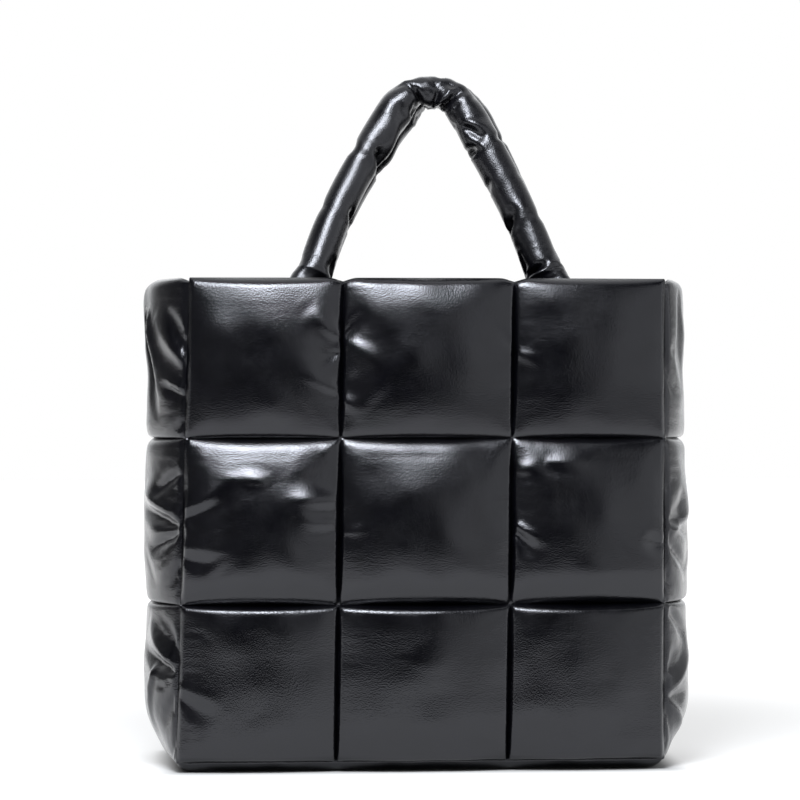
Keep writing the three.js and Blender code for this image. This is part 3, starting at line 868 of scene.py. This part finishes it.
def build_base(material):
    """The padded bottom: flat on the floor, and rounded up to the seam that it shares with the walls."""
    half_width = float(half_width_at(BASE_SEAM_HEIGHT))
    half_depth = float(half_depth_at(BASE_SEAM_HEIGHT))
    across = base_lines(half_width, BASE_LINES[0])
    deep = base_lines(half_depth, BASE_LINES[1])
    a, b = np.meshgrid(across, deep)
    x = a * (half_width - SEAM_GAP / 2)
    y = b * (half_depth - SEAM_GAP / 2)
    out = base_directions(across, deep)
    place = np.stack([middle_at(BASE_SEAM_HEIGHT) + x, y, np.full_like(x, BASE_SEAM_HEIGHT)], -1)
    from_side = np.clip((half_width - np.abs(x)) / BASE_ROLL, 0, 1)
    from_front = np.clip((half_depth - np.abs(y)) / BASE_ROLL, 0, 1)
    round_share = np.sqrt(1 - (1 - from_side) ** 2) * np.sqrt(1 - (1 - from_front) ** 2)
    soft_share = np.sin(np.pi / 2 * from_side) * np.sin(np.pi / 2 * from_front)
    rising = np.minimum(from_side, from_front) < 1
    swell = BASE_WAVE_HEIGHT * base_waves(x, y) * round_share * (1 - round_share)
    puff = BASE_SEAM_HEIGHT * round_share + np.where(rising, swell, 0)
    edge = np.zeros(a.shape, bool)
    edge[[0, -1]] = edge[:, [0, -1]] = True
    puff = np.where(edge, EDGE_LIFT, np.clip(puff, EDGE_LIFT, BASE_SEAM_HEIGHT))
    inner_puff = np.where(edge, EDGE_LIFT, np.maximum(EDGE_LIFT, INNER_PUFF * soft_share))
    outer = place + out * puff[..., None]
    inner = place - out * inner_puff[..., None]
    rows, columns = (sorted({*range(0, len(lines), BASE_STRIDE), len(lines) - 1}) for lines in (deep, across))
    points, faces = closed_sheet(outer, inner, rows, columns)
    return add_mesh("skin_base_panel", points, faces, material, True)


class Graph:
    """Adds shader nodes to a material or world. Inputs are given as sockets, which it links, or as values."""

    def __init__(self, owner):
        owner.use_nodes = True
        self.nodes, self.links = owner.node_tree.nodes, owner.node_tree.links

    def feed(self, node, inputs):
        for name, value in inputs.items():
            if isinstance(value, bpy.types.NodeSocket):
                self.links.new(value, node.inputs[name])
            else:
                node.inputs[name].default_value = value
        return node

    def add(self, kind, inputs=None):
        return self.feed(self.nodes.new("ShaderNode" + kind), inputs or {})

    def math(self, operation, one, two):
        node = self.add("Math", {0: one, 1: two})
        node.operation = operation
        return node.outputs["Value"]

    def vector(self, operation, *values):
        node = self.add("VectorMath", dict(enumerate(values)))
        node.operation = operation
        return node.outputs["Value" if operation in ("LENGTH", "DOT_PRODUCT") else "Vector"]

    def spread(self, value, source, target=(0, 1), kind="LINEAR"):
        """The value with the range source stretched to the range target, and held at its ends."""
        node = self.add("MapRange", {"Value": value, "From Min": source[0], "From Max": source[1]})
        node.interpolation_type = kind
        return self.feed(node, {"To Min": target[0], "To Max": target[1]}).outputs["Result"]


LEATHER_TINTS = ((0.0004, 0.0004, 0.0008, 1), (0.0010, 0.0010, 0.0017, 1))
REFLECTION_TINT = (0.93, 0.94, 1, 1)
WALL_ROUGHNESS = 0.205
HANDLE_ROUGHNESS = 0.27
ROUGHNESS_SPREAD = (-0.04, 0.05)  # how much smoother and rougher the patches are
NOISE_RANGE = (0.3, 0.7)  # where nearly all values of a noise texture lie
PATCHES = {"Scale": 34, "Detail": 4, "Roughness": 0.6}
TINTING = {"Scale": 60, "Detail": 3, "Roughness": 0.5}
SOFT_WAVES = {"Scale": 140, "Detail": 3, "Roughness": 0.5}
SOFT_WAVE_BUMP = {"Strength": 0.1, "Distance": 0.0004}
GRAIN_SCALE = 820
GRAIN_BUMP = {"Strength": 0.55, "Distance": 0.00018}


def leather(name, roughness):
    """Black faux leather: a fine printed grain, worn a little smoother and rougher in patches."""
    material = bpy.data.materials.new(name)
    graph = Graph(material)
    place = graph.add("TexCoord").outputs["Object"]

    def noise(settings):
        return graph.add("TexNoise", {"Vector": place, **settings}).outputs["Fac"]

    rough_range = [roughness + offset for offset in ROUGHNESS_SPREAD]
    patches = graph.spread(noise(PATCHES), NOISE_RANGE, rough_range)
    tint = graph.nodes.new("ShaderNodeMix")
    tint.data_type = "RGBA"
    share = graph.spread(noise(TINTING), NOISE_RANGE)
    graph.feed(tint, {"Factor": share, "A": LEATHER_TINTS[0], "B": LEATHER_TINTS[1]})
    waves = graph.add("Bump", {"Height": noise(SOFT_WAVES), **SOFT_WAVE_BUMP})
    grain = graph.add("TexVoronoi", {"Vector": place, "Scale": GRAIN_SCALE})
    over = {"Height": grain.outputs["Distance"], "Normal": waves.outputs["Normal"]}
    pebbles = graph.add("Bump", {**over, **GRAIN_BUMP})
    graph.feed(graph.nodes["Principled BSDF"], {
        "Base Color": tint.outputs["Result"],
        "Roughness": patches,
        "IOR": 1.5,
        "Specular Tint": REFLECTION_TINT,
        "Normal": pebbles.outputs["Normal"],
    })
    return material


# The camera stands a little to the left and looks level at the bag
CAMERA_TURN = 4.5
CAMERA_DISTANCE = 2.6
CAMERA_ASIDE = -0.0142
CAMERA_HEIGHT = 0.301
CAMERA_LENS = 139.9


def add_camera():
    data = bpy.data.cameras.new("camera")
    data.sensor_width = 36
    data.lens = CAMERA_LENS
    camera = bpy.data.objects.new("camera", data)
    turn = math.radians(CAMERA_TURN)
    camera.location = (
        CAMERA_ASIDE * math.cos(turn) - CAMERA_DISTANCE * math.sin(turn),
        -CAMERA_ASIDE * math.sin(turn) - CAMERA_DISTANCE * math.cos(turn),
        CAMERA_HEIGHT,
    )
    camera.rotation_euler = (math.radians(90), 0, -turn)
    bpy.context.scene.collection.objects.link(camera)
    bpy.context.scene.camera = camera


# One lamp over the front, left of the middle, in layers: brightest at its heart, so that its mirror image in
# the leather has no hard edge
SOFTBOX_PLACE = (-0.25, -0.95, 1.22)
SOFTBOX_TILT = 44
SOFTBOX_COLOR = (0.93, 0.96, 1)
SOFTBOX = (
    {"size": (0.44, 0.42), "radiance": 39},
    {"size": (0.74, 0.70), "radiance": 11},
    {"size": (0.98, 0.92), "radiance": 2.8},
)


def add_softbox(size, radiance):
    data = bpy.data.lights.new("softbox", "AREA")
    data.shape = "RECTANGLE"
    data.size, data.size_y = size
    data.energy = math.pi * size[0] * size[1] * radiance
    data.color = SOFTBOX_COLOR
    light = bpy.data.objects.new("softbox", data)
    light.location = SOFTBOX_PLACE
    light.rotation_euler = (math.radians(SOFTBOX_TILT), 0, 0)
    light.visible_camera = False
    bpy.context.scene.collection.objects.link(light)


# Soft patches of light round the bag: where each lies, the angles from its middle at which it is full and
# gone, and how bright it is
GLOWS = (
    {"toward": (0, 0.5, 1), "full": 25, "gone": 60, "light": 1.2},
    {"toward": (0, 1, 0.2), "full": 20, "gone": 48, "light": 1.2},
    {"toward": (1, 0.35, 0.1), "full": 25, "gone": 60, "light": 0.66},
    {"toward": (0.76, -0.65, 0.0), "full": 33, "gone": 42, "light": 1.05},
    {"toward": (-0.76, -0.65, 0.0), "full": 28, "gone": 42, "light": 0.14},
    {"toward": (-1, 0.6, 0.2), "full": 15, "gone": 45, "light": 0.15},
)
AMBIENT = 0.006
STUDIO_COLOR = (0.97, 0.985, 1, 1)
WHITE = (1, 1, 1, 1)


def add_world():
    """A white backdrop for the camera, and a dark studio with soft glows for everything else."""
    world = bpy.data.worlds.new("studio")
    graph = Graph(world)
    direction = graph.add("TexCoord").outputs["Generated"]
    total = AMBIENT
    for glow in GLOWS:
        aligned = graph.vector("DOT_PRODUCT", direction, Vector(glow["toward"]).normalized())
        edge = [math.cos(math.radians(glow[end])) for end in ("gone", "full")]
        patch = graph.spread(aligned, edge, (0, glow["light"]), "SMOOTHSTEP")
        total = graph.math("ADD", patch, total)
    studio = graph.feed(graph.nodes["Background"], {"Color": STUDIO_COLOR, "Strength": total})
    white = graph.add("Background", {"Color": WHITE})
    for_camera = graph.add("LightPath").outputs["Is Camera Ray"]
    shown = graph.add("MixShader", {0: for_camera, 1: studio.outputs[0], 2: white.outputs[0]})
    graph.feed(graph.nodes["World Output"], {"Surface": shown.outputs[0]})
    bpy.context.scene.world = world


FLOOR_CORNERS = ((-8, -1.4, 0), (8, -1.4, 0), (8, 9, 0), (-8, 9, 0))
FLOOR_WHITE = 0.34
PAINTED_SHADE_DISTANCES = (0.3, 1.4)  # distances from the bag's middle between which the floor's own glow grows: painted shade round the bag
# how brightly the floor glows near the bag, in that painted shade, and far from it
FLOOR_GLOW_NEAR_AND_FAR = (0.51, 1.0)
FRONT_FADE = (-1.4, -0.3)  # depths between which the floor grows bright in what the leather mirrors and in the light it sends to the bag: a painted reflection, as the camera sees it white
# how bright the floor is near the bag in that painted reflection
FRONT_LIGHT = 1.25
PAINTED_SHADOW_INSET = 0.004  # painted contact shadow on the floor at the base: how far inside the base's outline the floor begins to grow bright and the distance over which it does, as the painted shadow fades out
PAINTED_SHADOW_REACH = 0.029  # and the distance over which it does


def add_floor():
    """A white floor that glows with its own light, as painted light, with painted shade round the bag and a
    painted contact shadow at its base. In the leather it is a painted reflection that fades towards the
    front, where the dark room begins, while the camera sees it white.
    """
    material = bpy.data.materials.new("floor")
    graph = Graph(material)
    place = graph.add("TexCoord").outputs["Object"]
    distance = graph.vector("LENGTH", place)
    # The floor's own glow, painted darker near the bag as shade round it
    light = graph.spread(distance, PAINTED_SHADE_DISTANCES, FLOOR_GLOW_NEAR_AND_FAR, "SMOOTHSTEP")
    # A painted contact shadow: the floor's glow is dark just inside the base's outline and grows bright away
    # from it
    half_base = (BASE_WIDTH / 2 - PAINTED_SHADOW_INSET, BASE_DEPTH / 2 - PAINTED_SHADOW_INSET, 0)
    beyond = graph.vector("SUBTRACT", graph.vector("ABSOLUTE", place), half_base)
    gap = graph.vector("LENGTH", graph.vector("MAXIMUM", beyond, (0, 0, 0)))
    shade = graph.spread(gap, (0, PAINTED_SHADOW_REACH), kind="SMOOTHSTEP")
    depth = graph.add("SeparateXYZ", {0: place}).outputs["Y"]
    front = graph.spread(depth, FRONT_FADE, (0, FRONT_LIGHT), "SMOOTHSTEP")
    # Painted reflection: the camera sees the floor white, the leather mirrors it faded towards the front
    for_camera = graph.add("LightPath").outputs["Is Camera Ray"]
    mirrored = graph.add("Mix", {"Factor": for_camera, "A": front, "B": 1}).outputs["Result"]
    graph.feed(graph.nodes["Principled BSDF"], {
        "Base Color": graph.math("MULTIPLY", mirrored, FLOOR_WHITE),
        "Roughness": 0.7,
        "Specular IOR Level": 0,
        # The floor glows though it is no lamp: painted light, dimmed by the painted shade and the painted
        # contact shadow
        "Emission Color": WHITE,
        "Emission Strength": graph.math("MULTIPLY", graph.math("MULTIPLY", light, shade), mirrored),
    })
    floor = add_mesh("floor", np.array(FLOOR_CORNERS, float), [[0, 1, 2, 3]], material)


bpy.context.scene.view_settings.view_transform = "Standard"
add_camera()
add_world()
add_floor()
for layer in SOFTBOX:
    add_softbox(layer["size"], layer["radiance"])
skin = leather("leather", WALL_ROUGHNESS)
handle_skin = leather("handle_leather", HANDLE_ROUGHNESS)
for wall in (PANELS[-1], PANELS[1], GUSSETS[-1], GUSSETS[1]):
    piece = build_wall(wall, skin)
    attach(piece, "root")
    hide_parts(wall.name)
base = build_base(skin)
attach(base, "root")
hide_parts("base_panel")
for name, side, shift, spread in (
    ("front_handle", -1, 0, 0),
    ("rear_handle", 1, REAR_HANDLE_SHIFT, REAR_HANDLE_SPREAD),
):
    handle = build_handle(name, side, shift, HANDLE_SPAN + spread, handle_skin)
    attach(handle, "root")
    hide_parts(name)
